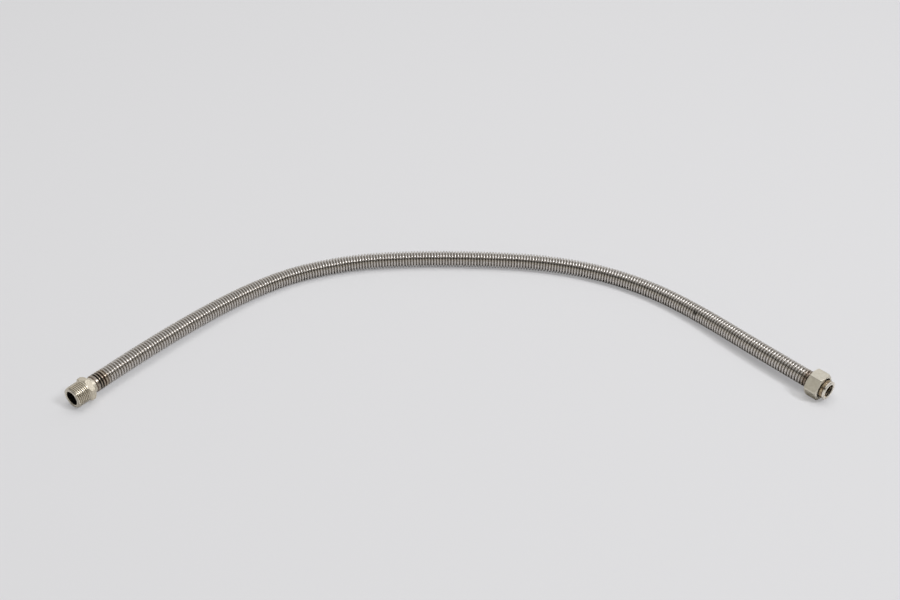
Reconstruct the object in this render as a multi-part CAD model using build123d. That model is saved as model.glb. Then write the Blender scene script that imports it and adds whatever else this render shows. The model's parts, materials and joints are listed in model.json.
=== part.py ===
"""Stainless bellows hose with a male hex nipple at one end and a loose union nut at the other.

The hose lies on its side in a wide, low arch, as it comes to rest on a bench. Millimetres, +Z up.
The origin is on the bench, under the middle of the whole object. The nipple is at -X, the union
nut at +X, and the crown of the arch is towards +Y.

Each end is built in its own frame: local Z is the axis of that end, 0 where the hose stops and
positive outwards, local X is level and local Y is up.
"""

import os
from math import cos, degrees, radians, tan

from build123d import *

# ---- G 1/2 pipe thread, shared by the nipple and the union nut
THREAD_MAJOR_D = 20.955
THREAD_MINOR_D = 18.631

# ---- hose: formed stainless tube, drawn here as its plain envelope
HOSE_OD = 16.5
HOSE_ID = 12.2

# ---- male hex nipple, from its mouth back to the hose
THREAD_LENGTH = 14.0
LEAD_IN_RADIAL = 0.9
LEAD_IN_LENGTH = 1.4
NIPPLE_HEX_AF = 21.0
NIPPLE_HEX_LENGTH = 6.0
NIPPLE_HEX_TURN = 20.0  # degrees from level to the first corner
SPIGOT_OD = 15.0
SPIGOT_LENGTH = 4.7
NIPPLE_BORE_D = 14.0
NIPPLE_BORE_DEPTH = 20.0
DRILL_ANGLE = 59.0  # half of the 118 degree drill point that ends the bore

# ---- rings that close the ends of the corrugated tube
NIPPLE_RING_OD = 16.6
NIPPLE_RING_LENGTH = 2.7
TAIL_RING_STEP = 0.3  # radial, in from the seal collar's rim
TAIL_RING_LENGTH = 3.0
RING_EDGE = 0.4

# ---- weld beads between each ring and its fitting
NIPPLE_WELD_LEG = 0.6
TAIL_WELD_LEG = 0.3

# ---- flat-faced seal collar inside the union nut
COLLAR_CLEARANCE = 0.115  # radial, so that the collar passes the nut's thread
COLLAR_LENGTH = 1.6
COLLAR_EDGE = 0.3
COLLAR_BORE_STEP = 0.2  # radial, out from the hose's bore
NECK_OD = 16.6
NECK_LENGTH = 0.8

# ---- union nut, pushed back along the hose
NUT_AF = 24.0
NUT_LENGTH = 13.8
NUT_SET_BACK = 5.5  # from the collar's sealing face to the nut's front face
NUT_SHOULDER = 3.5
NUT_HOLE_CLEARANCE = 0.35  # radial, over the hose
NUT_MOUTH_D = 20.6
NUT_MOUTH_ANGLE = 45.0

# ---- hexagons
HEX_CHAMFER_ANGLE = 30.0
HEX_FACE_SHARE = 0.96  # circle left on the end face, as a share of the size across flats

# ---- heights at which each stretch of the hose rests
HOSE_AXIS_Z = HOSE_OD / 2
NIPPLE_AXIS_Z = NIPPLE_HEX_AF / 2 / cos(radians(30)) * cos(radians(30 - NIPPLE_HEX_TURN))
NUT_AXIS_Z = NUT_AF / 2

# ---- route of the hose's centre line, from the nipple end to the union end
ROUTE = [
    (-329, -94, NIPPLE_AXIS_Z),
    (-272, -19, NIPPLE_AXIS_Z),
    (-188, 70, HOSE_AXIS_Z),
    (-113, 103, HOSE_AXIS_Z),
    (-43, 112, HOSE_AXIS_Z),
    (25, 113, HOSE_AXIS_Z),
    (91, 109, HOSE_AXIS_Z),
    (151, 93, HOSE_AXIS_Z),
    (201, 65, HOSE_AXIS_Z),
    (242, 29, HOSE_AXIS_Z),
    (291, -31, NUT_AXIS_Z),
    (343, -86, NUT_AXIS_Z),
]
ARC_SHARE = 0.45  # of the shorter run, taken up by each arc

# ---- sizes that follow from the ones above
RING_FACE = NIPPLE_RING_LENGTH
SPIGOT_END = RING_FACE + SPIGOT_LENGTH
HEX_END = SPIGOT_END + NIPPLE_HEX_LENGTH
NIPPLE_MOUTH = HEX_END + THREAD_LENGTH
NECK_END = TAIL_RING_LENGTH + NECK_LENGTH
SEAL_FACE = NECK_END + COLLAR_LENGTH
COLLAR_OD = THREAD_MINOR_D - 2 * COLLAR_CLEARANCE
COLLAR_BORE_D = HOSE_ID + 2 * COLLAR_BORE_STEP
TAIL_RING_OD = COLLAR_OD - 2 * TAIL_RING_STEP
NUT_FRONT = SEAL_FACE - NUT_SET_BACK
NUT_BACK = NUT_FRONT - NUT_LENGTH
NUT_HOLE_D = HOSE_OD + 2 * NUT_HOLE_CLEARANCE


def turned(*corners):
    """Solid turned about local Z, from the (diameter, height) corners of its section."""
    section = Polyline(*[(d / 2, 0, z) for d, z in corners], close=True)
    return revolve(make_face(section), Axis.Z)


def hexagon(across_flats, low, high, first_corner=0.0):
    """Hex bar from low to high with its corners chamfered at both ends."""
    corner_d = across_flats / cos(radians(30))
    face_d = across_flats * HEX_FACE_SHARE
    drop = (corner_d - face_d) / 2 * tan(radians(HEX_CHAMFER_ANGLE))
    outline = RegularPolygon(across_flats / 2, 6, major_radius=False, rotation=first_corner)
    bar = extrude(Pos(0, 0, low) * outline, high - low)
    barrel = turned(
        (0, low), (face_d, low), (corner_d, low + drop),
        (corner_d, high - drop), (face_d, high), (0, high),
    )
    return bar & barrel


def end_ring(outer_d, length):
    """Plain ring round the bore, with both outer edges rounded."""
    ring = turned((HOSE_ID, 0), (outer_d, 0), (outer_d, length), (HOSE_ID, length))
    outer_edges = ring.edges().filter_by(GeomType.CIRCLE).sort_by(SortBy.RADIUS)[-2:]
    return fillet(outer_edges, RING_EDGE)


def weld_bead(inner_d, root, leg):
    """Fillet weld in the corner between a ring's face at root and a spigot of inner_d."""
    r = inner_d / 2
    toe_out, toe_along, corner = (r + leg, 0, root), (r, 0, root + leg), (r, 0, root)
    crown = (r + leg * 0.65, 0, root + leg * 0.65)
    section = [Line(corner, toe_out), ThreePointArc(toe_out, crown, toe_along), Line(toe_along, corner)]
    return revolve(make_face(section), Axis.Z)


def hex_nipple():
    """Male G 1/2 nipple: spigot, hexagon and parallel thread envelope, bored through."""
    lead_in_d = THREAD_MAJOR_D - 2 * LEAD_IN_RADIAL
    body = turned(
        (0, RING_FACE), (SPIGOT_OD, RING_FACE), (SPIGOT_OD, SPIGOT_END + NIPPLE_HEX_LENGTH / 2),
        (THREAD_MAJOR_D, SPIGOT_END + NIPPLE_HEX_LENGTH / 2),
        (THREAD_MAJOR_D, NIPPLE_MOUTH - LEAD_IN_LENGTH), (lead_in_d, NIPPLE_MOUTH), (0, NIPPLE_MOUTH),
    )
    bore_end = NIPPLE_MOUTH - NIPPLE_BORE_DEPTH
    step = (NIPPLE_BORE_D - HOSE_ID) / 2 / tan(radians(DRILL_ANGLE))
    bore = turned(
        (0, RING_FACE), (HOSE_ID, RING_FACE), (HOSE_ID, bore_end - step),
        (NIPPLE_BORE_D, bore_end), (NIPPLE_BORE_D, NIPPLE_MOUTH), (0, NIPPLE_MOUTH),
    )
    return body + hexagon(NIPPLE_HEX_AF, SPIGOT_END, HEX_END, NIPPLE_HEX_TURN) - bore


def seal_collar():
    """Neck and flat-faced collar that a gasket seats on."""
    edge_d = COLLAR_OD - 2 * COLLAR_EDGE
    return turned(
        (COLLAR_BORE_D, TAIL_RING_LENGTH), (NECK_OD, TAIL_RING_LENGTH), (NECK_OD, NECK_END),
        (COLLAR_OD, NECK_END), (COLLAR_OD, SEAL_FACE - COLLAR_EDGE), (edge_d, SEAL_FACE),
        (COLLAR_BORE_D, SEAL_FACE),
    )


def union_nut():
    """Hex nut open at the front, with a shoulder at the back that rides over the hose."""
    flare = (NUT_MOUTH_D - THREAD_MINOR_D) / 2 / tan(radians(NUT_MOUTH_ANGLE))
    shoulder = NUT_BACK + NUT_SHOULDER
    bore = turned(
        (0, NUT_BACK), (NUT_HOLE_D, NUT_BACK), (NUT_HOLE_D, shoulder), (THREAD_MINOR_D, shoulder),
        (THREAD_MINOR_D, NUT_FRONT - flare), (NUT_MOUTH_D, NUT_FRONT), (0, NUT_FRONT),
    )
    return hexagon(NUT_AF, NUT_BACK, NUT_FRONT) - bore


def hose_path(points):
    """Straight runs joined by tangent arcs, each as large as its two runs allow."""
    runs = [b - a for a, b in zip(points, points[1:])]
    radii = []
    for before, after in zip(runs, runs[1:]):
        half_turn = radians(before.get_angle(after)) / 2
        radii.append(ARC_SHARE * min(before.length, after.length) / tan(half_turn))
    print("runs", [round(run.length, 1) for run in runs])
    print("turns", [round(degrees(radians(a.get_angle(b))), 1) for a, b in zip(runs, runs[1:])])
    print("radii", [round(radius) for radius in radii])
    return FilletPolyline(*points, radius=radii)


def corrugated_hose(path):
    """Envelope of the formed tube, swept along its path."""
    section = Circle(HOSE_OD / 2) - Circle(HOSE_ID / 2)
    hose = sweep(Plane(origin=path @ 0, z_dir=path % 0) * section, path)
    expected = section.area * path.length
    print("hose length", round(path.length, 1), "volume over section x length", hose.volume / expected)
    return hose


def end_frame(end, neighbour):
    """Frame at an end of the hose: Z leaves the hose, X is level, Y is up."""
    out = (end - neighbour).normalized()
    return Plane(origin=end, x_dir=Vector(0, 0, 1).cross(out), z_dir=out)


def main():
    """Build every piece in its place and write one STEP file for each."""
    points = [Vector(*point) for point in ROUTE]
    nipple_end = end_frame(points[0], points[1])
    union_end = end_frame(points[-1], points[-2])
    pieces = {
        "hex_nipple": nipple_end * hex_nipple(),
        "nipple_weld": nipple_end * weld_bead(SPIGOT_OD, RING_FACE, NIPPLE_WELD_LEG),
        "nipple_end_ring": nipple_end * end_ring(NIPPLE_RING_OD, NIPPLE_RING_LENGTH),
        "corrugated_hose": corrugated_hose(hose_path(points)),
        "tail_end_ring": union_end * end_ring(TAIL_RING_OD, TAIL_RING_LENGTH),
        "tail_weld": union_end * weld_bead(NECK_OD, TAIL_RING_LENGTH, TAIL_WELD_LEG),
        "seal_collar": union_end * seal_collar(),
        "union_nut": union_end * union_nut(),
    }
    os.makedirs("parts", exist_ok=True)
    for name, piece in pieces.items():
        export_step(piece, f"parts/{name}.step")


main()
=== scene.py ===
"""Dressed model of a stainless bellows hose with a male hex nipple and a loose union nut.

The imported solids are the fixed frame. The corrugated tube, the threaded nipple, the union nut and
the weld beads are modelled here round that frame, in metres, and the plain end rings and the seal
collar keep their solids and get their finish. Sizes in the classes are in millimetres, unless they
are said to be in metres.
"""

from __future__ import annotations

import json
import logging
import math
from abc import ABC, abstractmethod
from dataclasses import dataclass, field, replace
from enum import Enum
from typing import Any, Mapping, Sequence

import bpy
import numpy as np
from mathutils import Matrix, Vector

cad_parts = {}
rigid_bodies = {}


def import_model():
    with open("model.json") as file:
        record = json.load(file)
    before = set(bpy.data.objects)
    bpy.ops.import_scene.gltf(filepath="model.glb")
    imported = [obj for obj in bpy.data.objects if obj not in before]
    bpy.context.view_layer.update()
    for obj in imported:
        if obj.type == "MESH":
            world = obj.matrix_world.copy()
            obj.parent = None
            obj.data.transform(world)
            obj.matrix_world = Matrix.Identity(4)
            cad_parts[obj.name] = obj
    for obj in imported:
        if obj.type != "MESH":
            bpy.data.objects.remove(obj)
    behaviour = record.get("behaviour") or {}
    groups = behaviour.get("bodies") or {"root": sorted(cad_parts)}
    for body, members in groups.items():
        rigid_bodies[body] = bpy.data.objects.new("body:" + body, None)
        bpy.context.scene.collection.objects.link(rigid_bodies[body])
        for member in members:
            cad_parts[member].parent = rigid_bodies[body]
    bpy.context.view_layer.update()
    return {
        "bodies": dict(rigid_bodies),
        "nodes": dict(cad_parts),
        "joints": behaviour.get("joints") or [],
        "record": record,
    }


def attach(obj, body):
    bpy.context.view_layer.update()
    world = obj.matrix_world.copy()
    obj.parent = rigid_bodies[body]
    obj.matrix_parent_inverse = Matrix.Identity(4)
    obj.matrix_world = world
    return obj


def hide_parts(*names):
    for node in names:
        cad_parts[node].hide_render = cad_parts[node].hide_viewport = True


Piece = bpy.types.Object
Tree = bpy.types.NodeTree
Socket = bpy.types.NodeSocket
Triple = tuple[float, float, float]  # a point or a direction
Stops = tuple[tuple[float, str], ...]  # places and hex colours of a colour ramp

LOG = logging.getLogger("bellows_hose")
MM = 0.001

NOISE_RANGE = (0.3, 0.7)  # nearly all that a noise texture gives lies between these
PATCH_RANGE = (0.35, 0.65)  # part of it over which a dull patch passes into a bright one
TO_CORNER = 30.0  # degrees from the middle of a hexagon's flat to its corner

# Centre line of the hose from the nipple end to the union end, in metres.
ROUTE = (
    (-0.329, -0.094, 0.01194),
    (-0.272, -0.019, 0.01194),
    (-0.188, 0.070, 0.00825),
    (-0.113, 0.103, 0.00825),
    (-0.043, 0.112, 0.00825),
    (0.025, 0.113, 0.00825),
    (0.091, 0.109, 0.00825),
    (0.151, 0.093, 0.00825),
    (0.201, 0.065, 0.00825),
    (0.242, 0.029, 0.00825),
    (0.291, -0.031, 0.012),
    (0.343, -0.086, 0.012),
)


class Body(Enum):
    """Bodies of the frame that a piece can ride on."""

    HOSE = "hose"
    NUT = "nut"


class Duty(Enum):
    """What a lamp is for: the light and shadow on the bench, or the glare in the metal."""

    LIGHT = "light"
    GLARE = "glare"


# ---- colour and nodes


def srgb(code: str) -> tuple[float, float, float, float]:
    """Turns a hex colour into linear light.

    Args:
        code: sRGB colour such as "#B4AC96".

    Returns:
        Linear red, green, blue and an alpha of 1.
    """
    channels = [int(code[i : i + 2], 16) / 255 for i in (1, 3, 5)]
    linear = [c / 12.92 if c <= 0.04045 else ((c + 0.055) / 1.055) ** 2.4 for c in channels]
    return (linear[0], linear[1], linear[2], 1.0)


def emptied(owner: bpy.types.Material | bpy.types.World) -> Tree:
    """Turns on a material's or a world's nodes, and gives its tree with none in it."""
    owner.use_nodes = True
    owner.node_tree.nodes.clear()
    return owner.node_tree


def add(
    tree: Tree,
    kind: str,
    settings: Mapping[str | int, Any] | None = None,
    links: Mapping[str | int, Socket] | None = None,
    stops: Stops = (),
) -> bpy.types.Node:
    """Adds one node with its settings, its incoming links and, on a ramp, its stops.

    Args:
        tree: the tree that gets the node.
        kind: Blender's type name of the node.
        settings: values for the node's properties or, where it has none so named, its inputs.
        links: sockets that feed the node's inputs.
        stops: places and hex colours of a colour ramp.

    Returns:
        The new node.
    """
    node = tree.nodes.new(kind)
    for key, value in (settings or {}).items():
        if isinstance(key, str) and hasattr(node, key):
            setattr(node, key, value)
        else:
            node.inputs[key].default_value = value
    for key, socket in (links or {}).items():
        tree.links.new(socket, node.inputs[key])
    if stops:
        elements = node.color_ramp.elements
        while len(elements) < len(stops):
            elements.new(0.5)
        for element, (place, code) in zip(elements, stops):
            element.position = place
            element.color = srgb(code)
    return node


def blend(
    tree: Tree,
    share: Socket,
    first: Socket,
    second: Socket,
    way: str = "MIX",
) -> Socket:
    """Blends two colours.

    Args:
        tree: material's or world's node tree.
        share: how much of the second there is, from 0 to 1.
        first: the first colour.
        second: the second colour.
        way: Blender's name of the blend.

    Returns:
        The blended colour.
    """
    # Sockets 6 and 7 are the two colours of Blender's mix node, and output 2 is its colour.
    mix = add(
        tree, "ShaderNodeMix", {"data_type": "RGBA", "blend_type": way}, {0: share, 6: first, 7: second}
    )
    return mix.outputs[2]


def remap(
    tree: Tree,
    value: Socket,
    source: tuple[float, float] = (0.0, 1.0),
    target: tuple[float, float] = (0.0, 1.0),
    way: str = "LINEAR",
) -> Socket:
    """Maps a value from one range onto another, and keeps it there.

    Args:
        tree: material's or world's node tree.
        value: the value.
        source: its range.
        target: the range that it gets.
        way: Blender's name of the way from one end to the other.

    Returns:
        The mapped value.
    """
    settings = {"interpolation_type": way}
    for name, (low, high) in (("From", source), ("To", target)):
        settings |= {f"{name} Min": low, f"{name} Max": high}
    return add(tree, "ShaderNodeMapRange", settings, {"Value": value}).outputs["Result"]


def plain(tree: Tree, code: str) -> Socket:
    """Gives a socket that holds one hex colour."""
    colour = add(tree, "ShaderNodeRGB").outputs[0]
    colour.default_value = srgb(code)
    return colour


def marked(tree: Tree, name: str) -> Socket:
    """Gives the share that the piece carries at each point under a name."""
    return add(tree, "ShaderNodeAttribute", {"attribute_name": name}).outputs["Fac"]


@dataclass(frozen=True)
class HeatTint:
    """Oxide colours that a weld leaves on stainless steel, with some painted shade, as bands along one
    axis.

    Attributes:
        origin: point where the bands start, in metres.
        along: unit direction in which they run.
        reach: length of the bands.
        bands: place, from 0 to 1 along the reach, and hex colour of each band.
        strength: share of the oxide's colour in the mix at its darkest.
        wander: how far the bands stray from true rings.
        wander_size: distance over which they stray.
        fade_from: place from which they fade away, from 0 to 1 along the reach.
    """

    origin: Triple
    along: Triple
    reach: float
    bands: Stops
    strength: float
    wander: float = 0.5
    wander_size: float = 4.0
    fade_from: float = 0.55

    def over(self, tree: Tree, base: Socket) -> Socket:
        """Lays the bands over a colour.

        Args:
            tree: material's node tree.
            base: colour of the clean metal.

        Returns:
            The tinted colour.
        """
        place = add(tree, "ShaderNodeTexCoord").outputs["Object"]
        from_start = add(
            tree, "ShaderNodeVectorMath", {"operation": "SUBTRACT", 1: self.origin}, {0: place}
        ).outputs[0]
        run = add(
            tree, "ShaderNodeVectorMath", {"operation": "DOT_PRODUCT", 1: self.along}, {0: from_start}
        )
        # A weld's heat spreads unevenly, so the bands wander a little.
        wander = add(
            tree,
            "ShaderNodeTexNoise",
            {"Scale": 1 / (self.wander_size * MM), "Detail": 2.0},
            {"Vector": place},
        )
        sway = self.wander * MM
        swayed = add(
            tree,
            "ShaderNodeMath",
            {"operation": "MULTIPLY_ADD", 1: 2 * sway},
            {0: wander.outputs[0], 2: run.outputs["Value"]},
        )
        share = remap(tree, swayed.outputs[0], (sway, sway + self.reach * MM))
        ramp = add(tree, "ShaderNodeValToRGB", links={"Fac": share}, stops=self.bands)
        fade = remap(tree, share, (self.fade_from, 1.0), (self.strength, 0.0))
        return blend(tree, fade, base, ramp.outputs["Color"])


@dataclass(frozen=True)
class SteelFinish:
    """Stainless steel as one working process leaves it.

    Attributes:
        name: material's name.
        light: hex colour of its clean, bright patches.
        dull: hex colour of its handled, dull patches.
        patch: size of those patches.
        roughness: mean roughness.
        spread: how far the roughness wanders either side of the mean.
        mark: spacing of the tool marks.
        mark_depth: depth of the marks.
        axis: direction that the marks ring, or None for marks with no direction.
        tints: bands of weld heat tint, some with painted shade, over the colour.
        painted_shade: hex colour of the shade painted into its recesses, or None for a piece without it.
        stain: hex colour where the piece is stained, or None for one without a stain.
        stretch: how far marks round the piece stretch the glare along it, from 0 to 1.
        matt: roughness added where the piece is marked as matt.
    """

    name: str
    light: str
    dull: str
    patch: float
    roughness: float
    spread: float
    mark: float
    mark_depth: float
    axis: Triple | None = None
    tints: tuple[HeatTint, ...] = ()
    painted_shade: str | None = None
    stain: str | None = None
    stretch: float = 0.0
    matt: float = 0.0

    def build(self) -> bpy.types.Material:
        """Makes the node material.

        Returns:
            The material.
        """
        material = bpy.data.materials.new(self.name)
        tree = emptied(material)
        place = add(tree, "ShaderNodeTexCoord").outputs["Object"]
        patches = add(
            tree, "ShaderNodeTexNoise", {"Scale": 1 / (self.patch * MM), "Detail": 4.0}, {"Vector": place}
        )
        colour = add(
            tree,
            "ShaderNodeValToRGB",
            links={"Fac": patches.outputs[0]},
            stops=tuple(zip(PATCH_RANGE, (self.dull, self.light))),
        ).outputs["Color"]
        # Painted shade darkens the recesses that the piece marks; the stain is a real mark.
        for name, code in (("painted_shade", self.painted_shade), ("stain", self.stain)):
            if code is not None:
                colour = blend(tree, marked(tree, name), colour, plain(tree, code))
        for tint in self.tints:
            colour = tint.over(tree, colour)
        rough_range = (self.roughness - self.spread, self.roughness + self.spread)
        rough = remap(tree, patches.outputs[0], NOISE_RANGE, rough_range)
        if self.matt:
            rough = add(
                tree,
                "ShaderNodeMath",
                {"operation": "MULTIPLY_ADD", 1: self.matt},
                {0: marked(tree, "matt"), 2: rough},
            ).outputs[0]
        bump = add(
            tree,
            "ShaderNodeBump",
            {"Strength": 1.0, "Distance": self.mark_depth * MM},
            {"Height": self.marks(tree, place)},
        )
        shader = add(
            tree,
            "ShaderNodeBsdfPrincipled",
            {"Metallic": 1.0, "Anisotropic": self.stretch},
            {"Base Color": colour, "Roughness": rough, "Normal": bump.outputs["Normal"]},
        )
        if self.stretch:
            along = add(tree, "ShaderNodeAttribute", {"attribute_name": "along"}).outputs["Vector"]
            tree.links.new(along, shader.inputs["Tangent"])
        add(tree, "ShaderNodeOutputMaterial", links={"Surface": shader.outputs["BSDF"]})
        return material

    def marks(self, tree: Tree, place: Socket) -> Socket:
        """Draws the tool marks as a height.

        Args:
            tree: material's node tree.
            place: object coordinates.

        Returns:
            Height of the marks, from 0 to 1.
        """
        if self.axis is None:
            settings = {"Scale": 1 / (self.mark * MM), "Detail": 3.0}
            return add(tree, "ShaderNodeTexNoise", settings, {"Vector": place}).outputs[0]
        run = add(tree, "ShaderNodeVectorMath", {"operation": "DOT_PRODUCT", 1: self.axis}, {0: place})
        rings = add(
            tree,
            "ShaderNodeTexNoise",
            {"noise_dimensions": "1D", "Scale": 1 / (self.mark * MM)},
            {"W": run.outputs["Value"]},
        )
        return rings.outputs[0]


# ---- finishes
#
# Real tool marks and pits lie under 0.2 mm apart, too fine to show on the whole hose. Every finish
# draws them coarser, 0.3 to 0.8 mm apart, and 0.003 to 0.02 mm deep.

# Bright tube with closely formed rings: a smooth skin, so that each crest catches a sharp light.
# Its forming marks run round it and stretch that light along it. Shade is painted into its grooves
# and all down its bore, and its one dent is stained dark.
FORMED_STEEL = SteelFinish(
    name="bright formed stainless steel", light="#DEDAD6", dull="#D2CDC7", patch=3.0,
    roughness=0.3, spread=0.03, mark=0.8, mark_depth=0.003, painted_shade="#9A938A", stain="#06070A", stretch=0.9,
)
# Turned and milled bar: fine rings round the axis and a warm, pale sheen. The milled flats and the
# spigot are rougher than the thread, so they spread the light. Shade is painted into the thread's
# roots, the mouth's chamfer and the bore.
TURNED_STEEL = SteelFinish(
    name="turned stainless steel", light="#E8E1D2", dull="#DAD2C2", patch=2.6,
    roughness=0.33, spread=0.04, mark=0.5, mark_depth=0.004, painted_shade="#6E675C", matt=0.33,
)
# Tumbled with stones after machining: small pits that run no way give a soft, even sheen. Shade is
# painted into its thread, its shoulder and its hole.
TUMBLED_STEEL = SteelFinish(
    name="tumbled stainless steel", light="#E8E3D5", dull="#DCD6C7", patch=2.6,
    roughness=0.44, spread=0.04, mark=0.35, mark_depth=0.006, painted_shade="#40392F",
)
# Weld metal as it sets: browned by its own heat, with a rough, broken shine.
WELD_METAL = SteelFinish(
    name="heat-tinted weld metal", light="#A2948A", dull="#6C5A50", patch=1.2,
    roughness=0.42, spread=0.08, mark=0.4, mark_depth=0.02,
)
# Ring pressed to size on the tube: smooth and greyer than the nipple, a little dulled by the weld.
SIZED_STEEL = SteelFinish(
    name="sized stainless ring", light="#B5ACA1", dull="#93897D", patch=1.6,
    roughness=0.28, spread=0.05, mark=0.3, mark_depth=0.006,
)
# The same at the union end, where the weld's heat left patches of straw and brown and a duller skin.
TINTED_STEEL = SteelFinish(
    name="heat-tinted stainless ring", light="#CDBD9F", dull="#836D56", patch=1.3,
    roughness=0.36, spread=0.06, mark=0.35, mark_depth=0.012,
)
# Sealing face cut on a lathe: the brightest metal here, with fine rings round the axis.
FACED_STEEL = SteelFinish(
    name="faced stainless steel", light="#F3EDE1", dull="#E6DECF", patch=2.0,
    roughness=0.28, spread=0.05, mark=0.4, mark_depth=0.008,
)

# Bands on the first rings beside the nipple's weld: shade painted black into the first two grooves
# and dark brown into the next ones, where the weld's oxide browns them, with clean steel on the
# crests between and at the end.
NIPPLE_SHADE_AND_OXIDE = (
    (0.0, "#0E0B0A"), (0.11, "#0E0B0A"), (0.135, "#B7A996"), (0.165, "#B7A996"),
    (0.20, "#14100E"), (0.30, "#1E1512"), (0.37, "#BDAE9A"), (0.45, "#5A3022"),
    (0.52, "#3C2A20"), (0.60, "#C6B8A2"), (0.74, "#94806A"), (1.0, "#C2B8A8"),
)
# Oxide on the last rings before the union end: brown that fades to clean steel.
UNION_BANDS = ((0.0, "#4A372B"), (0.4, "#7A6450"), (1.0, "#B8AE9E"))
# Oxide on the nipple's spigot: faint grey straw that fades towards the hexagon.
SPIGOT_BANDS = ((0.0, "#948D80"), (0.35, "#B5AFA2"), (0.7, "#CCC6B9"), (1.0, "#E0DACC"))


# ---- shells


@dataclass(frozen=True)
class EndFrame:
    """Frame at one end of the hose: local Z leaves the hose, X is level and Y is up."""

    origin: Vector
    level: Vector
    up: Vector
    out: Vector

    @classmethod
    def at(cls, end: Sequence[float], neighbour: Sequence[float]) -> EndFrame:
        """Makes the frame of an end of the route from that point and the one beside it."""
        out = (Vector(end) - Vector(neighbour)).normalized()
        level = Vector((0, 0, 1)).cross(out).normalized()
        return cls(Vector(end), level, out.cross(level), out)

    def point(self, height: float) -> Vector:
        """Gives the point on the axis at a local height in millimetres."""
        return self.origin + self.out * (height * MM)


def linked(name: str, data: bpy.types.ID) -> Piece:
    """Makes an object of that data and puts it in the scene."""
    made = bpy.data.objects.new(name, data)
    bpy.context.scene.collection.objects.link(made)
    return made


def shell(
    name: str,
    centres: np.ndarray,
    across: np.ndarray,
    up: np.ndarray,
    radii: np.ndarray,
    hard_edge: float = 38.0,
) -> Piece:
    """Builds a closed shell from rings, each joined to the next and the last to the first.

    Args:
        name: name of the object.
        centres: centre of each ring, in metres.
        across: unit direction of each ring's angle 0.
        up: unit direction of each ring's angle 90.
        radii: radius of each ring at each angle, in metres.
        hard_edge: degrees between two faces, past which their edge stays crisp.

    Returns:
        The new object, smooth but for its hard edges.
    """
    rings, around = radii.shape
    angles = np.arange(around) * 2 * math.pi / around
    spokes = across[:, None] * np.cos(angles)[None, :, None] + up[:, None] * np.sin(angles)[None, :, None]
    points = (centres[:, None] + spokes * radii[:, :, None]).reshape(-1, 3)
    ring, step = np.meshgrid(np.arange(rings), np.arange(around), indexing="ij")
    next_ring, next_step = (ring + 1) % rings, (step + 1) % around
    corners = [ring * around + step, ring * around + next_step]
    corners += [next_ring * around + next_step, next_ring * around + step]
    quads = np.stack(corners, -1).reshape(-1, 4)
    mesh = bpy.data.meshes.new(name)
    mesh.from_pydata(points.tolist(), [], quads.tolist())
    mesh.update()
    piece = linked(name, mesh)
    mesh.shade_smooth()
    mesh.set_sharp_from_angle(angle=math.radians(hard_edge))
    return piece


@dataclass(frozen=True)
class Station:
    """One ring of a turned or milled piece.

    Attributes:
        height: place along the axis.
        radius: radius at each angle.
        painted_shade: how much shade is painted on it where it lies in a recess, from 0 to 1.
        matt: how matt it is, from 0 to 1.
    """

    height: float
    radius: np.ndarray
    painted_shade: float | np.ndarray = 0.0
    matt: float = 0.0


AROUND = 144  # angles in each ring of a fitting, a multiple of six so that hexagons keep corners
ANGLES = np.arange(AROUND) * 2 * math.pi / AROUND


def turned(height: float, radius: float, painted_shade: float = 0.0, matt: float = 0.0) -> Station:
    """Gives a round ring at that height and radius, in millimetres, with that much painted shade and
    matt.
    """
    return Station(height, np.full(AROUND, radius), painted_shade, matt)


def mark(piece: Piece, name: str, values: np.ndarray, kind: str = "FLOAT") -> None:
    """Writes a share from 0 to 1, or a direction, at each point of a piece for its finish."""
    attribute = piece.data.attributes.new(name, kind, "POINT")
    values = values.astype(np.float32).ravel()
    attribute.data.foreach_set("vector" if kind == "FLOAT_VECTOR" else "value", values)


@dataclass(frozen=True)
class Fitting(ABC):
    """Piece made of rings round the axis of one end of the hose.

    Attributes:
        name: name of the piece.
    """

    name: str

    @abstractmethod
    def stations(self) -> list[Station]:
        """Gives its rings in order, outside first and then back down the bore."""

    def build(self, frame: EndFrame) -> Piece:
        """Builds the piece.

        Args:
            frame: frame of the hose end that carries it.

        Returns:
            The new object.
        """
        stations = self.stations()
        heights = np.array([station.height for station in stations])
        centres = np.array(frame.origin) + heights[:, None] * MM * np.array(frame.out)
        across = np.tile(np.array(frame.level), (len(stations), 1))
        up = np.tile(np.array(frame.up), (len(stations), 1))
        piece = shell(self.name, centres, across, up, np.array([s.radius for s in stations]) * MM)
        # Painted shade: the share of shade painted on each ring.
        mark(piece, "painted_shade", np.array([np.broadcast_to(s.painted_shade, AROUND) for s in stations]))
        mark(piece, "matt", np.repeat([s.matt for s in stations], AROUND))
        return piece


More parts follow.
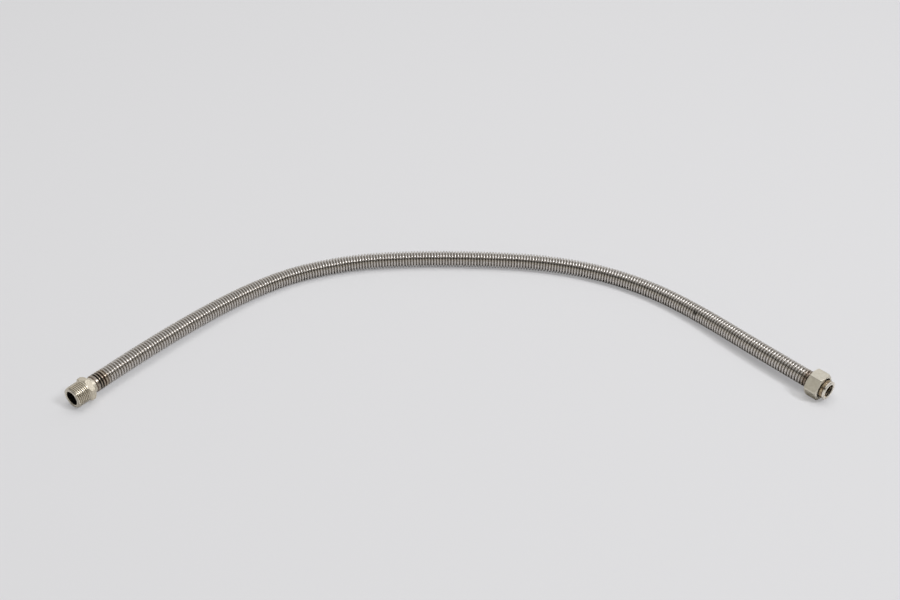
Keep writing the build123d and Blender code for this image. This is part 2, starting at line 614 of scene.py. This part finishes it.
@dataclass(frozen=True)
class Hexagon:
    """Hexagonal bar with chamfered corners.

    Attributes:
        across_flats: size across the flats.
        low: height of its first end face.
        high: height of its second end face.
        turn: degrees from level to its first corner.
        face_share: circle left on each end face, as a share of the size across the flats.
        corner_round: radius of its long edges.
        chamfer: degrees of the chamfer from the end face.
        chamfer_rings: rings in each chamfer.
    """

    across_flats: float
    low: float
    high: float
    turn: float = 0.0
    face_share: float = 0.96
    corner_round: float = 0.45
    chamfer: float = 30.0
    chamfer_rings: int = 9

    def radius(self, height: float) -> np.ndarray:
        """Gives the outline at one height.

        Args:
            height: place along the axis, in millimetres.

        Returns:
            Radius at each angle, in millimetres.
        """
        half = self.across_flats / 2
        from_face = (np.degrees(ANGLES) - self.turn) % (2 * TO_CORNER) - TO_CORNER
        flat = half / np.cos(np.radians(from_face))
        corner = (half - self.corner_round) / math.cos(math.radians(TO_CORNER)) + self.corner_round
        inset = min(height - self.low, self.high - height) / math.tan(math.radians(self.chamfer))
        cone = half * self.face_share + inset
        return np.minimum(np.minimum(flat, corner), cone)

    def stations(self) -> list[Station]:
        """Works out the rings of its outside, closely spaced over the chamfers.

        Returns:
            The rings, from its first face to its second.
        """
        corner = self.across_flats / 2 / math.cos(math.radians(TO_CORNER))
        drop = (corner - self.across_flats / 2 * self.face_share) * math.tan(math.radians(self.chamfer))
        steps = np.linspace(0, drop, self.chamfer_rings)
        heights = [self.low + s for s in steps] + [self.high - s for s in steps[::-1]]
        return [Station(height, self.radius(height), matt=1.0) for height in heights]


@dataclass(frozen=True)
class PipeThread:
    """Right-hand G 1/2 pipe thread.

    Attributes:
        major: major diameter.
        minor: minor diameter.
        pitch: spacing of its turns.
        samples: rings in each turn.
        flank: how straight its flanks are, 1 for a full wave and more for flatter tips.
    """

    major: float = 20.955
    minor: float = 18.631
    pitch: float = 25.4 / 14
    samples: int = 16
    flank: float = 1.6

    def radius(self, height: float, share: float = 1.0) -> np.ndarray:
        """Gives the radius at each angle.

        Args:
            height: place along the axis, in millimetres.
            share: depth of the thread there, from 0 for its plain crest to 1.

        Returns:
            Radius at each angle, in millimetres.
        """
        phase = (height / self.pitch - ANGLES / (2 * math.pi)) % 1
        wave = np.clip((np.abs(2 * phase - 1) - 0.5) * self.flank + 0.5, 0, 1)
        eased = wave * wave * (3 - 2 * wave)
        return self.major / 2 - (self.major - self.minor) / 2 * share * eased

    def depth(self, radius: np.ndarray) -> np.ndarray:
        """Gives how deep in the thread each radius lies, from 0 on its crest to 1 at its root."""
        return np.clip((self.major / 2 - radius) / (self.major / 2 - self.minor / 2), 0, 1)

    def heights(self, low: float, high: float) -> np.ndarray:
        """Gives the heights of its rings between two ends."""
        count = max(2, math.ceil((high - low) / self.pitch * self.samples))
        return np.linspace(low, high, count)


# ---- the hose


@dataclass(frozen=True)
class BellowsTube:
    """The formed tube: closed rings along one smooth line.

    Attributes:
        outside: diameter over its crests.
        root: diameter in its grooves, outside.
        bore: inside diameter.
        pitch: spacing of its rings.
        around: angles in each ring.
        first_crest: distance from the nipple's end ring to the first crest.
        end_gap: least distance from an end to the nearest ring that is kept.
        lining_step: spacing of the rings of its plain bore.
        line_steps: points read from each span of the centre line.
        probe: distance either side of a ring over which the line's direction is read.
        hard_edge: degrees between faces past which their edge is crisp, as at the tube's ends.
        wave: place in a ring from crest to crest, and depth there, from 0 to 1 in the groove.
        dent_place: distance from the nipple end to its one small stained dent.
        dent_angle: degrees to that dent from the arch's outer side, over the top of the tube.
        dent_reach: how far the dent spreads.
        dent_depth: how deep its crests are pressed in.
    """

    outside: float = 16.5
    root: float = 12.9
    bore: float = 12.2
    pitch: float = 3.03
    around: int = 42
    first_crest: float = 1.9
    end_gap: float = 0.1
    lining_step: float = 8.0
    line_steps: int = 60
    probe: float = 0.1
    hard_edge: float = 85.0
    wave: tuple[tuple[float, float], ...] = (
        (0.0, 0.0), (0.2, 0.04), (0.28, 0.4), (0.35, 0.92),
        (0.5, 1.0), (0.65, 0.92), (0.72, 0.4), (0.8, 0.04),
    )
    dent_place: float = 677.5
    dent_angle: float = 147.0
    dent_reach: float = 2.1
    dent_depth: float = 0.6

    def centre_line(self) -> np.ndarray:
        """Reads the points of the one smooth spline that the route controls.

        Returns:
            Points in metres, from the nipple end to the union end.
        """
        curve = bpy.data.curves.new("hose_line", "CURVE")
        curve.dimensions = "3D"
        spline = curve.splines.new("NURBS")
        spline.points.add(len(ROUTE) - 1)
        for point, place in zip(spline.points, ROUTE):
            point.co = (*place, 1.0)
        spline.order_u = 3
        spline.use_endpoint_u = True
        spline.resolution_u = self.line_steps
        carrier = linked("hose_line", curve)
        bpy.context.view_layer.update()
        smooth = carrier.evaluated_get(bpy.context.evaluated_depsgraph_get())
        read = bpy.data.meshes.new_from_object(smooth)
        points = np.array([vertex.co for vertex in read.vertices])
        bpy.data.meshes.remove(read)
        bpy.data.objects.remove(carrier)
        bpy.data.curves.remove(curve)
        return points

    def rings(self, length: float) -> tuple[np.ndarray, np.ndarray]:
        """Works out the outside's rings, which stop in a groove at both ends.

        Args:
            length: length of the centre line in metres.

        Returns:
            Their places along the line in metres, and their depths from 0 to 1.
        """
        first = self.first_crest * MM
        crests = round((length - first) / (self.pitch * MM) + 0.5)
        pitch = (length - first) / (crests - 0.5)
        shares = np.array([share for share, _ in self.wave])
        waves = np.arange(-1, crests)[:, None] + shares[None, :]
        places = (first + waves * pitch).ravel()
        depths = np.tile([depth for _, depth in self.wave], crests + 1)
        inside = (places > self.end_gap * MM) & (places < length - self.end_gap * MM)
        places = np.concatenate([[0.0], places[inside], [length]])
        return places, np.concatenate([[1.0], depths[inside], [1.0]])

    def dent(self, places: np.ndarray) -> np.ndarray:
        """Works out how far each point of the outside belongs to the dent.

        Args:
            places: places of the rings along the line in metres.

        Returns:
            Share from 0 to 1, for each ring and each angle.
        """
        angles = np.arange(self.around) * 360 / self.around
        off_along = (places / MM - self.dent_place)[:, None] / self.dent_reach
        off_round = np.radians(angles - self.dent_angle)[None, :] * self.outside / 2 / self.dent_reach
        return np.exp(-(off_along**2) - off_round**2)

    def build(self) -> tuple[Piece, np.ndarray, float]:
        """Builds the tube.

        Returns:
            The object, the centres of its crests and grooves in metres, and its length in metres.
        """
        line = self.centre_line()
        run = np.concatenate([[0], np.cumsum(np.linalg.norm(np.diff(line, axis=0), axis=1))])
        length = run[-1]
        places, depths = self.rings(length)
        inner = np.linspace(length, 0, round(length / (self.lining_step * MM)))
        at = np.concatenate([places, inner])
        centres, ahead, behind = (
            np.stack([np.interp(at + offset * MM, run, line[:, axis]) for axis in range(3)], -1)
            for offset in (0.0, self.probe, -self.probe)
        )
        along = ahead - behind
        along /= np.linalg.norm(along, axis=1)[:, None]
        across = np.cross(np.array([0.0, 0.0, 1.0]), along)
        across /= np.linalg.norm(across, axis=1)[:, None]
        up = np.cross(along, across)
        outer = (self.outside - (self.outside - self.root) * depths) / 2 * MM
        radius = np.concatenate([outer, np.full(len(inner), self.bore / 2 * MM)])
        radii = np.repeat(radius[:, None], self.around, axis=1)
        dent = self.dent(places)
        radii[: len(places)] -= dent * (1 - depths)[:, None] * self.dent_depth * MM
        piece = shell("bellows_tube", centres, across, up, radii, self.hard_edge)
        # Painted shade: deepest at the bottom of each groove, and full down the bore.
        mark(piece, "painted_shade", np.repeat(np.concatenate([depths, np.ones(len(inner))]), self.around))
        mark(piece, "stain", np.concatenate([dent, np.zeros((len(inner), self.around))]))
        mark(piece, "along", np.repeat(along, self.around, axis=0), "FLOAT_VECTOR")
        return piece, centres[: len(places)], length


# ---- the fittings


@dataclass(frozen=True)
class HexNipple(Fitting):
    """Male nipple: spigot, hexagon and thread, bored through.

    Attributes:
        thread: its thread.
        root: height of the spigot's end, on the end ring.
        spigot: diameter of the spigot.
        spigot_end: height where the hexagon starts.
        hex_end: height where the thread starts.
        mouth: height of the mouth.
        across_flats: size of the hexagon.
        hex_turn: degrees from level to the hexagon's first corner.
        lead_in: radial size of the chamfer at the mouth.
        lead_length: length of that chamfer.
        bore: diameter at the mouth.
        bore_end: height where the bore steps down.
        through: diameter of the hole through the spigot.
        runout: length over which the thread fades before the hexagon.
        edge: chamfer at the mouth of the bore.
        dark_depth: depth in the bore from which it is in full painted shade.
        painted_shade: shade painted on that chamfer and the roots of the thread, from 0 to 1.
        spigot_matt: how matt the spigot is.
    """

    thread: PipeThread
    root: float = 2.7
    spigot: float = 15.0
    spigot_end: float = 7.4
    hex_end: float = 13.4
    mouth: float = 27.4
    across_flats: float = 21.0
    hex_turn: float = 20.0
    lead_in: float = 0.9
    lead_length: float = 1.4
    bore: float = 14.0
    bore_end: float = 7.4
    through: float = 12.2
    runout: float = 1.6
    edge: float = 0.25
    dark_depth: float = 1.5
    painted_shade: float = 0.4
    spigot_matt: float = 0.6

    def stations(self) -> list[Station]:
        """Works out its rings.

        Returns:
            The rings of the spigot, the hexagon, the thread and the bore.
        """
        hexagon = Hexagon(self.across_flats, self.spigot_end, self.hex_end, self.hex_turn)
        ends = (self.root, self.spigot_end)
        stations = [turned(height, self.spigot / 2, matt=self.spigot_matt) for height in ends]
        stations += hexagon.stations()
        for height in self.thread.heights(self.hex_end, self.mouth):
            share = min(1.0, (height - self.hex_end) / self.runout)
            rise = (self.mouth - height) / self.lead_length * self.lead_in
            cone = self.thread.major / 2 - self.lead_in + rise
            radius = self.thread.radius(height, share)
            # Painted shade, deepest in the roots of the thread.
            painted_shade = self.painted_shade * self.thread.depth(radius)
            stations.append(Station(height, np.minimum(radius, cone), painted_shade))
        step = (self.bore - self.through) / 2
        # The mouth's chamfer and the bore get painted shade, full from dark_depth inwards.
        stations += [
            turned(self.mouth, self.bore / 2 + self.edge),
            turned(self.mouth - self.edge, self.bore / 2, self.painted_shade),
            turned(self.mouth - self.dark_depth, self.bore / 2, 1.0),
            turned(self.bore_end, self.bore / 2, 1.0),
            turned(self.bore_end - step, self.through / 2, 1.0),
            turned(self.root, self.through / 2, 1.0),
        ]
        return stations


@dataclass(frozen=True)
class UnionNut(Fitting):
    """Loose hex nut: threaded at the front, with a shoulder round the hose at the back.

    Attributes:
        thread: its thread.
        back: height of its back face.
        front: height of its front face.
        across_flats: size of its hexagon.
        hole: diameter of the hole round the hose.
        shoulder: thickness of the shoulder.
        mouth: diameter of the countersink at the front face.
        relief: length of the plain relief between the thread and the shoulder.
        corner_round: radius of its long edges.
        edge: chamfer where the hose goes in.
        painted_shade: how much shade is painted on that chamfer, from 0 to 1.
        dark_depth: depth behind the front face from which its thread is in full painted shade.
    """

    thread: PipeThread
    back: float = -13.9
    front: float = -0.1
    across_flats: float = 24.0
    hole: float = 17.2
    shoulder: float = 3.5
    mouth: float = 20.6
    relief: float = 1.2
    corner_round: float = 0.6
    edge: float = 0.3
    painted_shade: float = 0.5
    dark_depth: float = 0.5

    def stations(self) -> list[Station]:
        """Works out its rings.

        Returns:
            The rings of the hexagon, the thread, the shoulder and the hole.
        """
        hexagon = Hexagon(self.across_flats, self.back, self.front, corner_round=self.corner_round)
        stations = hexagon.stations()
        seat = self.back + self.shoulder
        # Painted shade deepens behind the front face, and fills the relief, the shoulder and the hole.
        for height in self.thread.heights(seat + self.relief, self.front)[::-1]:
            inset = self.front - height
            radius = np.maximum(self.thread.radius(height), self.mouth / 2 - inset)
            stations.append(Station(height, radius, min(1.0, inset / self.dark_depth)))
        stations += [
            turned(seat + self.relief, self.thread.major / 2, 1.0),
            turned(seat, self.thread.major / 2, 1.0),
            turned(seat, self.hole / 2, 1.0),
            turned(self.back + self.edge, self.hole / 2, self.painted_shade),
            turned(self.back, self.hole / 2 + self.edge),
        ]
        return stations


@dataclass(frozen=True)
class WeldBead(Fitting):
    """Fillet bead with the ripples that the welder's steps leave.

    Attributes:
        inside: diameter of the neck that it lies on.
        root: height of the ring's face behind it.
        leg: size of the bead along the neck and up the face.
        ripples: ripples round the neck.
        ripple: height of a ripple, as a share of the leg.
        crown: how far its middle swells, as a share of the leg.
        rings: rings from one toe to the other.
        sink: how far its foot goes into the neck.
    """

    inside: float
    root: float
    leg: float
    ripples: int = 36
    ripple: float = 0.22
    crown: float = 0.12
    rings: int = 7
    sink: float = 0.01

    def stations(self) -> list[Station]:
        """Works out its rings.

        Returns:
            The rings from its toe on the neck to its toe on the face, and its foot.
        """
        swell = 1 - self.ripple * np.abs(np.sin(ANGLES * self.ripples / 2))
        stations = []
        for turn in np.radians(np.linspace(90, 0, self.rings)):
            bulge = 1.0 + self.crown * math.sin(2 * turn)
            height = self.root + self.leg * math.cos(turn) * bulge
            rise = self.leg * math.sin(turn) * bulge
            stations.append(Station(height, self.inside / 2 + rise * swell))
        stations.append(turned(self.root, self.inside / 2 - self.sink))
        return stations


# ---- studio


@dataclass(frozen=True)
class Lamp:
    """Soft box.

    Attributes:
        name: name of the lamp.
        place: its centre, in metres.
        aim: point that it faces, in metres.
        size: its width and height, in metres.
        power: power in watts.
        colour: hex colour of its light.
        duty: what it is for.
    """

    name: str
    place: Triple
    aim: Triple
    size: tuple[float, float]
    power: float
    colour: str
    duty: Duty

    def build(self) -> None:
        """Hangs the lamp in the scene."""
        data = bpy.data.lights.new(self.name, "AREA")
        data.shape = "RECTANGLE"
        data.size, data.size_y = self.size
        data.energy = self.power
        data.color = srgb(self.colour)[:3]
        lamp = linked(self.name, data)
        lamp.location = self.place
        lamp.visible_glossy = self.duty is Duty.GLARE
        lamp.visible_diffuse = self.duty is Duty.LIGHT
        lamp.rotation_euler = (Vector(self.aim) - Vector(self.place)).to_track_quat("-Z", "Y").to_euler()


# The window gives the bench its soft shadows and the ceiling fills them. The panel is the window as
# metal shows it, larger and further round, for one long streak on the hose.
LAMPS = (
    Lamp(
        name="window", place=(3.3, -1.4, 4.2), aim=(0.0, 0.0, 0.0), size=(1.15, 1.6),
        power=135.0, colour="#FCFDFF", duty=Duty.LIGHT,
    ),
    Lamp(
        name="ceiling", place=(0.0, 0.4, 3.2), aim=(0.0, 0.4, 0.0), size=(2.4, 2.0),
        power=46.0, colour="#FFFDFA", duty=Duty.LIGHT,
    ),
    Lamp(
        name="panel", place=(3.2, -0.6, 4.4), aim=(0.0, 0.0, 0.0), size=(2.1, 1.7),
        power=96.0, colour="#FBFCFF", duty=Duty.GLARE,
    ),
)


@dataclass(frozen=True)
class Studio:
    """Pale bench, soft light and the camera.

    Attributes:
        focus: point on the bench that the camera faces, in metres.
        distance: from the camera to that point, in metres.
        elevation: degrees that the camera looks down.
        roll: degrees that the camera leans.
        lens: focal length in millimetres.
        sensor: width of the sensor in millimetres.
        bench: hex colour of the bench.
        bench_glow: hex colour of the light painted on the bench to lift its shadows, and of the backdrop.
        painted_fill_share: how much of that painted light there is round the object, from 0 to 1.
        sweep: distances in metres over which the bench passes into the plain backdrop.
        painted_dark_in_metal: share of black painted over the bench where metal shows it, as shade.
        bench_size: side of the bench in metres.
        front_wall: room's colour in front of the bench, against how high it lies.
        back_wall: the same behind the bench.
        band_tilt: direction in which that height is measured, so that the dim band leans.
        wall_turn: how far back directions point while the front wall passes into the back one.
        glow: strength of the room's light.
        glow_on_bench: the same for the light that falls on the bench.
    """

    focus: Triple = (-0.004, 0.053, 0.0)
    distance: float = 1.319
    elevation: float = 38.0
    roll: float = 0.88
    lens: float = 52.0
    sensor: float = 36.0
    bench: str = "#E0E0E2"
    bench_glow: str = "#DBDBDD"
    painted_fill_share: float = 0.4
    sweep: tuple[float, float] = (1.0, 2.8)
    painted_dark_in_metal: float = 0.12
    bench_size: float = 8.0
    front_wall: Stops = (
        (0.0, "#CFCCC5"), (0.2, "#CCC9C2"), (0.3, "#413E3B"), (0.62, "#3F3D39"), (0.74, "#DCDCDC"),
    )
    back_wall: Stops = ((0.0, "#DAD8D4"), (0.5, "#DAD9D7"), (1.0, "#E1E1E2"))
    band_tilt: Triple = (0.11, 0.23, 1.0)
    wall_turn: tuple[float, float] = (0.12, 0.5)
    glow: float = 1.0
    glow_on_bench: float = 0.5

    def build(self) -> None:
        """Sets up everything round the object."""
        self.camera()
        self.floor()
        self.world()
        for lamp in LAMPS:
            lamp.build()
        bpy.context.scene.view_settings.view_transform = "Standard"

    def camera(self) -> None:
        """Places the camera and makes it the scene's own."""
        tilt = math.radians(self.elevation)
        back = Vector((0, -math.cos(tilt), math.sin(tilt)))
        data = bpy.data.cameras.new("camera")
        data.lens = self.lens
        data.sensor_width = self.sensor
        camera = linked("camera", data)
        lean = Matrix.Rotation(math.radians(self.roll), 4, "Z")
        turn = Matrix.Rotation(math.radians(90) - tilt, 4, "X") @ lean
        camera.matrix_world = Matrix.Translation(Vector(self.focus) + back * self.distance) @ turn
        bpy.context.scene.camera = camera

    def floor(self) -> None:
        """Lays the bench under the object."""
        half = self.bench_size / 2
        mesh = bpy.data.meshes.new("bench")
        corners = [(-half, -half, 0), (half, -half, 0), (half, half, 0), (-half, half, 0)]
        mesh.from_pydata(corners, [], [(0, 1, 2, 3)])
        bench = linked("bench", mesh)
        # Laminate with no gloss: the bench shows soft shadows and mirrors nothing.
        material = bpy.data.materials.new("matt white laminate")
        tree = emptied(material)
        paint = add(tree, "ShaderNodeBsdfDiffuse", {"Color": srgb(self.bench)})
        # Only the camera gets the bench's pale glow, painted light that lifts its shadows, so none of it
        # falls on the object. Metal gets a share of black in its place, painted shade in the bench's
        # reflection, which keeps the underside of the hose dark.
        rays = add(tree, "ShaderNodeLightPath").outputs
        painted_glow = add(
            tree,
            "ShaderNodeEmission",
            {"Color": srgb(self.bench_glow)},
            {"Strength": rays["Is Camera Ray"]},
        )
        painted_dark = add(
            tree,
            "ShaderNodeMath",
            {"operation": "MULTIPLY", 1: self.painted_dark_in_metal},
            {0: rays["Is Glossy Ray"]},
        )
        place = add(tree, "ShaderNodeTexCoord").outputs["Object"]
        away = add(tree, "ShaderNodeVectorMath", {"operation": "LENGTH"}, {0: place})
        # Painted light: round the object the glow covers that share of the bench, and far off all of it.
        seen = remap(tree, away.outputs["Value"], self.sweep, (self.painted_fill_share, 1.0), "SMOOTHSTEP")
        share = add(
            tree,
            "ShaderNodeMath",
            {"operation": "MULTIPLY_ADD"},
            {0: rays["Is Camera Ray"], 1: seen, 2: painted_dark.outputs[0]},
        )
        mix = add(
            tree,
            "ShaderNodeMixShader",
            links={0: share.outputs[0], 1: paint.outputs[0], 2: painted_glow.outputs[0]},
        )
        add(tree, "ShaderNodeOutputMaterial", links={"Surface": mix.outputs[0]})
        mesh.materials.append(material)

    def world(self) -> None:
        """Lights the room: even behind the bench, with a dim band part way up in front."""
        world = bpy.data.worlds.new("room")
        bpy.context.scene.world = world
        tree = emptied(world)
        direction = add(tree, "ShaderNodeTexCoord").outputs["Generated"]
        towards_back = add(tree, "ShaderNodeSeparateXYZ", links={0: direction}).outputs["Y"]
        height = add(
            tree, "ShaderNodeVectorMath", {"operation": "DOT_PRODUCT", 1: self.band_tilt}, {0: direction}
        ).outputs["Value"]
        front, back = (
            add(tree, "ShaderNodeValToRGB", links={"Fac": height}, stops=stops).outputs["Color"]
            for stops in (self.front_wall, self.back_wall)
        )
        room = blend(tree, remap(tree, towards_back, self.wall_turn), front, back)
        rays = add(tree, "ShaderNodeLightPath").outputs
        # The camera sees no wall, only the plain backdrop that the bench passes into.
        room = blend(tree, rays["Is Camera Ray"], room, plain(tree, self.bench_glow))
        # Metal shows the walls as they are, and dull surfaces get less light from them.
        power = remap(tree, rays["Is Diffuse Ray"], target=(self.glow, self.glow_on_bench))
        glow = add(tree, "ShaderNodeBackground", links={"Color": room, "Strength": power})
        add(tree, "ShaderNodeOutputWorld", links={"Surface": glow.outputs[0]})


# ---- the object


@dataclass
class BellowsHose:
    """The whole object: tube, nipple end and union end.

    Attributes:
        frame: the frame that was loaded.
        thread: thread of both fittings.
        nipple_end: frame of the hose's end at the nipple.
        union_end: frame of its other end.
    """

    frame: Mapping[str, Any]
    thread: PipeThread = PipeThread()
    nipple_end: EndFrame = field(init=False)
    union_end: EndFrame = field(init=False)

    def __post_init__(self) -> None:
        """Works out the frames of both ends from the route."""
        self.nipple_end = EndFrame.at(ROUTE[0], ROUTE[1])
        self.union_end = EndFrame.at(ROUTE[-1], ROUTE[-2])

    def dress(self, piece: Piece, finish: SteelFinish) -> None:
        """Gives a piece its one finish.

        Args:
            piece: the piece, built here or carried over from the frame.
            finish: its finish.
        """
        piece.data.materials.clear()
        piece.data.materials.append(finish.build())
        LOG.info("%s: %s", piece.name, finish.name)

    def stand_for(self, piece: Piece, node: str, body: Body) -> None:
        """Makes a piece ride on a body in place of a CAD node."""
        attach(piece, body.value)
        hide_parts(node)

    def tint(self, end: EndFrame, start: float, reach: float, inward: bool, **look: Any) -> HeatTint:
        """Places a heat tint on the axis of one end.

        Args:
            end: frame of that end.
            start: height where the bands start, in millimetres.
            reach: length of the bands, in millimetres.
            inward: whether they run into the hose.
            look: bands, strength and wander.

        Returns:
            The tint.
        """
        along = -end.out if inward else end.out
        return HeatTint(tuple(end.point(start)), tuple(along), reach, **look)

    def build(self) -> None:
        """Builds every piece and dresses every node."""
        self.build_tube()
        self.build_nipple()
        self.build_nut()
        self.build_welds()
        self.dress_solids()

    def build_tube(self) -> None:
        piece, path, length = BellowsTube().build()
        self.stand_for(piece, "corrugated_hose", Body.HOSE)
        tints = (
            # The nipple end's bands paint shade into its first grooves as well as the weld's oxide.
            self.tint(
                self.nipple_end, start=0.0, reach=13.0, inward=True,
                bands=NIPPLE_SHADE_AND_OXIDE, strength=0.9, wander=0.15,
            ),
            self.tint(
                self.union_end, start=-12.0, reach=12.0, inward=True, bands=UNION_BANDS, strength=0.75
            ),
        )
        self.dress(piece, replace(FORMED_STEEL, tints=tints))
        LOG.info("hose: %.1f mm long", length / MM)

    def build_nipple(self) -> None:
        """Builds and dresses the nipple."""
        piece = HexNipple("threaded_nipple", self.thread).build(self.nipple_end)
        self.stand_for(piece, "hex_nipple", Body.HOSE)
        tint = self.tint(
            self.nipple_end, start=HexNipple.root, reach=5.2, inward=False,
            bands=SPIGOT_BANDS, strength=0.25,
        )
        finish = replace(TURNED_STEEL, axis=tuple(self.nipple_end.out), tints=(tint,))
        self.dress(piece, finish)

    def build_nut(self) -> None:
        """Builds and dresses the union nut."""
        piece = UnionNut("hex_union_nut", self.thread).build(self.union_end)
        self.stand_for(piece, "union_nut", Body.NUT)
        self.dress(piece, TUMBLED_STEEL)

    def build_welds(self) -> None:
        """Builds and dresses the bead at each end."""
        spigot_bead = WeldBead("spigot_weld_bead", HexNipple.spigot, HexNipple.root, leg=0.6)
        collar_bead = WeldBead("collar_weld_bead", inside=16.6, root=3.0, leg=0.3)
        for bead, end, node in (
            (spigot_bead, self.nipple_end, "nipple_weld"),
            (collar_bead, self.union_end, "tail_weld"),
        ):
            piece = bead.build(end)
            self.stand_for(piece, node, Body.HOSE)
            self.dress(piece, WELD_METAL)

    def dress_solids(self) -> None:
        """Dresses the pieces that keep their solids."""
        faced = replace(FACED_STEEL, axis=tuple(self.union_end.out))
        for name, finish, slot in (
            ("nipple_end_ring", SIZED_STEEL, "end_rings"),
            ("tail_end_ring", TINTED_STEEL, "end_rings"),
            ("seal_collar", faced, "seal_collar"),
        ):
            self.dress(self.frame["nodes"][name], finish)


def main() -> None:
    """Loads the frame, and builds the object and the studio."""
    logging.basicConfig(level=logging.INFO, format="%(name)s %(message)s")
    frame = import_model()
    Studio().build()
    BellowsHose(frame).build()
    bpy.context.view_layer.update()


if __name__ == "__main__":
    main()
